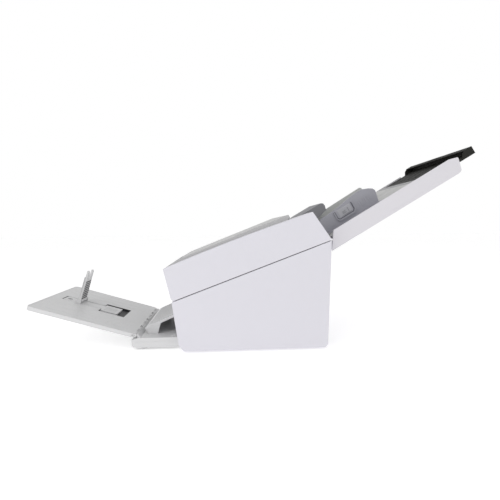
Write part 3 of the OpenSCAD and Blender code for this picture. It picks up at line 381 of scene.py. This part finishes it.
HOPPER_HALF, TRAY_HALF = 126.0, 126.0       # half widths of the hopper and the exit tray
EXTENSION_END = 318.0
GUIDE_FACE = 61.5                           # outer face of a side guide, from the middle
REAR_FACE = 147.3                           # rear cover at the height of its sockets
PLATE_TOP = 3.6                             # just under the top face of the exit plate
DECK = 1.9                                  # just under the top face of the paper support
KEY_TOP, PANEL_FACE = 0.5, -0.3             # just under the keys' tops and the panel's face


def support_details():
    ribs = Moulding(HOPPER)
    for x in (-105, -84, -45, -30, -15, 15, 30, 45, 84, 105):
        ribs.pad((x - 0.6, 100, DECK), (x + 0.6, 203, 2.35), 0.25)
    for x in (-45, -30, -15, 15, 30, 45):
        ribs.pad((x - 0.6, 8, DECK), (x + 0.6, 76, 2.35), 0.25)
    ribs.fit("support_ribs", "hopper", "support_grey")
    band = Moulding(HOPPER).pad((-122.3, 209, DECK), (122.3, 221.5, 2.3), 0.3)
    for u in (211.5, 215.2, 218.9):
        band.pad((-121, u - 0.4, 2.25), (121, u + 0.4, 2.48), 0.15)
    band.fit("support_end_band", "hopper", "guide_grey", BAND)
    ticks = Moulding(HOPPER)
    for side in (-1, 1):
        for x in (50, 62, 74, 88, 105):
            ticks.pad((side * x - 0.3, 95, DECK + 0.05), (side * x + 0.3, 97.5 if x % 2 else 99.5, 2.06))
            ticks.line([(side * x - 1.2, 101.6), (side * x, 99.9), (side * x + 1.2, 101.6)], 0.4, DECK + 0.05, 2.05)
    ticks.fit("paper_size_ticks", "hopper", "support_grey", PRINT, 0)
    walls = Moulding(beside(HOPPER, HOPPER_HALF))
    walls.line([(118, -15.2), (192, -15.2)], 0.7, -0.2, 0.22, draft=0.15)
    walls.line([(8, 8.6), (262, 8.6)], 0.5, -0.2, 0.12, draft=0.1)
    walls.fit("hopper_wall_lines", "hopper", "hopper_white", edge=0.08)


def guide_details():
    for body, mirrored in (("right_side_guide", False), ("left_side_guide", True)):
        face = beside(HOPPER, GUIDE_FACE + 0.1, mirrored)
        # Dark line along the recess lip: painted shadow of the lip, not a dark part.
        groove = Moulding(face)
        groove.line([(41.7, 33), (41.7, 18.6), (45, 14.8), (76.4, 14.8), (80.2, 18.6), (80.2, 34)], 1.7, -0.2, 0.1)
        groove.fit(body + "_recess_groove", body, "guide_grey", RECESS_PAINTED_SHADE, 0)
        pad = Moulding(face).pad((46, 16.4, -0.2), (77, 33.5, 0.5), 1.2)
        pad.fit(body + "_recess_pad", body, "guide_grey", PALE_PAD, 0.3)
        marks = Moulding(beside(HOPPER, GUIDE_FACE + 0.6, mirrored))
        for i, reach in enumerate((9, 7, 9)):
            marks.line([(55, 21 + 2.2 * i), (55 + reach, 21 + 2.2 * i)], 0.6, -0.05, 0.12)
        marks.line([(69, 19.5), (69, 28), (67.4, 26.2)], 0.6, -0.05, 0.12)
        marks.line([(52, 17.6), (74, 17.6)], 0.5, -0.05, 0.12)
        marks.fit(body + "_marks", body, "guide_grey", PRINT, 0)
        grip = Moulding(beside(HOPPER, GUIDE_FACE, mirrored))
        for i in range(6):
            u = 93 + 5.2 * i
            grip.line([(u, 14), (u, 30 - 0.8 * abs(i - 3))], 1.6, -0.3, 0.45, draft=0.45)
        grip.fit(body + "_grip", body, "guide_grey", edge=0.2)
        base = Moulding(HOPPER @ (Matrix.Diagonal((-1, 1, 1, 1)) if mirrored else Matrix.Identity(4)))
        for u in (30, 60, 112):
            base.pad((62, u - 0.8, 4.4), (75, u + 0.8, 5.3), 0.3)
        base.fit(body + "_sole_ribs", body, "guide_grey", edge=0.2)


def extension_details():
    ribs = Moulding(HOPPER)
    for x in (-100, -66, -33, 0, 33, 66, 100):
        ribs.pad((x - 0.9, 246, -0.8), (x + 0.9, EXTENSION_END - 20, -0.15), 0.3)
    for u in (250, 288):
        ribs.pad((-116, u - 0.7, -0.8), (116, u + 0.7, -0.2), 0.3)
    ribs.fit("extension_ribs", "tray_extension", "extension_black", edge=0.15)
    grip = Moulding(HOPPER)
    for i in range(9):
        grip.pad((-22 + 5 * i, EXTENSION_END - 13, 11.3), (-19.6 + 5 * i, EXTENSION_END - 2.5, 12.0), 0.4)
    grip.fit("extension_lip_grip", "tray_extension", "extension_black", edge=0.2)


def tray_details():
    rails = Moulding(TRAY)
    for x in (-104, -78, -52, 52, 78, 104):
        rails.pad((x - 0.8, 16, PLATE_TOP), (x + 0.8, 184, 4.15), 0.3)
    rim = [(-122, 12), (-122, 188), (-116, 195), (116, 195), (122, 188), (122, 12)]
    rails.line(rim, 0.7, PLATE_TOP, 3.98, draft=0.15)
    rails.fit("exit_plate_rails", "exit_plate", "tray_grey", edge=0.15)
    catch = Moulding(TRAY)
    catch.line([(92, 46), (110, 46), (110, 60), (92, 60)], 0.9, PLATE_TOP, 4.1, closed=True, draft=0.25)
    catch.line([(97, 50), (101, 56), (105, 50)], 0.8, PLATE_TOP, 3.95, draft=0.2)
    catch.fit("exit_plate_catch", "exit_plate", "tray_grey", edge=0.15)
    # Ribs on the stopper flap's face towards the body: the ribbed texture is the flap's own, but their dark rubber
    # colour is painted shade for that shaded face.
    ribs = Moulding(TRAY)
    for i in range(9):
        w = 13 + 4.4 * i
        ribs.pad((-15.5, 138.4, w), (15.5, 139.2, w + 1.9), 0.3)
    ribs.fit("stopper_ribs_painted_shade", "stopper_flap", "rubber_dark", edge=0.2)
    rims = Moulding(TRAY)
    rims.pad((-20, 142.8, 14), (-16.5, 144.1, 60), 0.3).pad((16.5, 142.8, 14), (20, 144.1, 60), 0.3)
    rims.fit("stopper_front_rims", "stopper_flap", "tray_grey", edge=0.3)
    for mirrored, side in ((False, "right"), (True, "left")):
        face = Moulding(beside(WORLD, TRAY_HALF, mirrored))
        face.line([(-209, 14.7), (-128, 14.7)], 0.8, -0.2, 0.3, draft=0.2)
        face.circle((-133, 19), 7.5, 0.8, -0.2, 0.3, start=95, sweep=150, sides=18)
        face.fit("exit_base_" + side + "_lines", "base", "tray_grey", edge=0.1)
    apron_outline = [(-203.7, 21), (-203.7, 28.4), (-202.6, 28.9), (-196.5, 21.6)]
    apron = Moulding(beside(WORLD, 0)).prism(apron_outline, -121, 121)
    apron.fit("tray_hinge_apron", "base", "tray_grey", edge=0.4)
    steps = Moulding(WORLD)
    for y in (-192, -186, -180):
        steps.pad((-118, y, 21.8), (-97, y + 1.6, 22.5), 0.3).pad((97, y, 21.8), (118, y + 1.6, 22.5), 0.3)
    steps.fit("exit_base_steps", "base", "tray_grey", edge=0.2)
    for mirrored, side in ((False, "right"), (True, "left")):
        hinge = Moulding(beside(TRAY, TRAY_HALF, mirrored)).circle((4.2, 0), 2.6, 0.5, -0.2, 0.25)
        hinge.fit("tray_hinge_end_" + side, "exit_plate", "tray_grey", edge=0.08)


def panel_details():
    ring = Moulding(PANEL).circle((72, 17), 9.6, 0.9, PANEL_FACE, 0.22, sides=48)
    ring.fit("start_lamp_ring", "upper_unit", "key_pale", RING_LAMP, 0.1)
    start = Moulding(PANEL).line([(69.8, 13.6), (75.6, 17), (69.8, 20.4)], 0.9, KEY_TOP, 0.72, closed=True)
    start.fit("start_symbol", "start_button", "key_grey", PRINT, 0.05)
    square = [(45.6, 14.6), (50.4, 14.6), (50.4, 19.4), (45.6, 19.4)]
    stop = Moulding(PANEL).line(square, 0.8, KEY_TOP, 0.7, closed=True)
    stop.fit("stop_symbol", "stop_button", "key_pale", PALE_PRINT, 0.05)
    arrows = Moulding(PANEL)
    for x, turn in ((-44, 180), (-30, 90), (-16, 0)):
        tip = [(2.0, 0), (-1.3, 1.7), (-1.3, -1.7)]
        c, n = math.cos(math.radians(turn)), math.sin(math.radians(turn))
        arrows.line([(x + a * c - b * n, 17 + a * n + b * c) for a, b in tip], 0.5, KEY_TOP, 0.68, closed=True)
    arrows.fit("menu_symbols", "menu_keys", "key_pale", PALE_PRINT, 0.05)
    frame_corners = [(-8.5, 7.2), (32.5, 7.2), (32.5, 26.8), (-8.5, 26.8)]
    frame_line = Moulding(PANEL).line(frame_corners, 0.9, PANEL_FACE, 0.25, closed=True)
    frame_line.fit("display_frame", "upper_unit", "panel_grey", edge=0.2)
    digits = Moulding(PANEL)
    segments = [((0, h), (3.8, h)) for h in (0, 4.9, 9.8)]
    segments += [((x, h), (x, h + 4.9)) for h in (0, 4.9) for x in (0, 3.8)]
    for x in (14.1, 21.1):
        for ends in segments:
            digits.line([(x + a, 12.1 + b) for a, b in ends], 0.6, -0.15, -0.06)
    digits.line([(-2, 13), (9, 13)], 0.8, -0.15, -0.06).line([(-2, 17), (6, 17)], 0.8, -0.15, -0.06)
    digits.fit("display_digits", "upper_unit", "window", BLUE_LAMP, 0)
    seam = Moulding(PANEL).line([(-112, 3), (112, 3)], 0.6, PANEL_FACE, 0.14, draft=0.1)
    seam.line([(-112, 31.2), (112, 31.2)], 0.6, PANEL_FACE, 0.14, draft=0.1)
    seam.fit("panel_seams", "upper_unit", "panel_grey", edge=0.06)


def lever_details():
    ribs = Moulding(TOP)
    along = (4 + 119.5) / math.cos(math.radians(TOP_SLOPE))
    for i in range(6):
        ribs.pad((95.5, along - 15 + 4.2 * i, -3.2), (104.5, along - 13 + 4.2 * i, -2.2), 0.4)
    ribs.fit("lever_finger_ribs", "release_lever", "guide_grey", edge=0.25)


def rear_details():
    contacts = Moulding(WORLD)
    for i in range(4):
        contacts.pad((26.6 + 2 * i, 136.2, 41.5), (27.4 + 2 * i, 144.5, 41.9))
    contacts.fit("data_contacts", "base", "steel", CONTACT, 0)
    tongue = Moulding(WORLD).pad((25.6, 135.7, 39.7), (34.4, 145.2, 41.55), 0.2)
    tongue.fit("data_tongue", "base", "inner_black", edge=0.2)
    blades = Moulding(WORLD)
    for x, z in ((58.8, 38.2), (65.2, 38.2), (62, 42.2)):
        blades.pad((x - 0.9, 134.6, z - 1.9), (x + 0.9, 144.2, z + 1.9))
    blades.fit("inlet_blades", "base", "steel", CONTACT, 0.3)
    frames = Moulding(rear_face(REAR_FACE))
    for x0, x1, z0, z1 in ((22.5, 37.5, 34, 47.2), (53.5, 70.5, 32, 48.2), (86.5, 105.5, 33, 47.2)):
        frames.line([(x0, z0), (x1, z0), (x1, z1), (x0, z1)], 0.6, -0.4, 0.35, closed=True, draft=0.2)
    frames.fit("rear_socket_frames", "base", "cover_white", edge=0.1)


support_details()
guide_details()
extension_details()
tray_details()
panel_details()
lever_details()
rear_details()


# ---------------------------------------------------------------- studio
def soft_light(name, at, aim, size, watts):
    """Soft light from a rectangle; its middle, aim and sides are in metres."""
    light = bpy.data.lights.new(name, "AREA")
    light.shape = "RECTANGLE"
    light.size, light.size_y = size
    light.energy = watts
    obj = bpy.data.objects.new(name, light)
    bpy.context.scene.collection.objects.link(obj)
    obj.location = at
    obj.rotation_euler = (Vector(aim) - Vector(at)).to_track_quat("-Z", "Y").to_euler()


def studio():
    """White all round where it is seen, with light that falls off towards the top; white paper on the floor."""
    world = bpy.data.worlds.new("studio")
    world.use_nodes = True
    tree = world.node_tree
    sky = tree.nodes["Background"]
    sky.inputs["Color"].default_value = (1, 1, 1, 1)
    way, split, fall, seen, pick = (tree.nodes.new("ShaderNode" + kind)
                                    for kind in ("TexCoord", "SeparateXYZ", "MapRange", "LightPath", "Math"))
    pick.operation = "MAXIMUM"
    for name, value in (("From Min", 0.1), ("From Max", 0.95), ("To Min", 1.0), ("To Max", 0.5)):
        fall.inputs[name].default_value = value
    for start, end in ((way.outputs["Generated"], split.inputs[0]), (split.outputs["Z"], fall.inputs["Value"]),
                       (fall.outputs[0], pick.inputs[0]), (seen.outputs["Is Camera Ray"], pick.inputs[1]),
                       (pick.outputs[0], sky.inputs["Strength"])):
        tree.links.new(start, end)
    bpy.context.scene.world = world
    soft_light("key light", (1.5, -1.0, 1.6), (0, 0, 0.1), (1.6, 1.2), 9)
    soft_light("top light", (-0.2, 0.1, 2.2), (0, 0, 0), (2.0, 2.0), 3)
    f = Finish("floor paper", (0.93, 0.93, 0.93), Emission_Color=(1, 1, 1, 1), Emission_Strength=0.36)
    fibre = f.noise(120, 3.0)
    f.set(Base_Color=f.tint(fibre, (0.925, 0.925, 0.925), (0.935, 0.935, 0.935)), Roughness=0.8 + (fibre - 0.5) * 0.1)
    mesh = bpy.data.meshes.new("floor")
    reach = 14.0
    corners = [(-reach, -reach, 0), (reach, -reach, 0), (reach, reach, 0), (-reach, reach, 0)]
    mesh.from_pydata(corners, [], [(0, 1, 2, 3)])
    mesh.materials.append(f.material)
    floor = bpy.data.objects.new("floor", mesh)
    bpy.context.scene.collection.objects.link(floor)
    bpy.context.scene.view_settings.view_transform = "Standard"


def camera():
    """Seen from the right side, a little above the table, turned slightly to the rear and tipped down."""
    turn, tip, roll = math.radians(4), math.radians(2.9), math.radians(-0.5)
    ahead = Vector((-math.cos(turn) * math.cos(tip), math.sin(turn) * math.cos(tip), -math.sin(tip)))
    side = ahead.cross(Vector((0, 0, 1))).normalized()
    up = side.cross(ahead)
    right = side * math.cos(roll) + up * math.sin(roll)
    over = up * math.cos(roll) - side * math.sin(roll)
    data = bpy.data.cameras.new("camera")
    data.lens, data.sensor_width = 28.8, 36.0
    obj = bpy.data.objects.new("camera", data)
    bpy.context.scene.collection.objects.link(obj)
    turned = Matrix((right, over, -ahead)).transposed().to_4x4()
    obj.matrix_world = Matrix.Translation((0.864, -0.045, 0.219)) @ turned
    bpy.context.scene.camera = obj


studio()
camera()
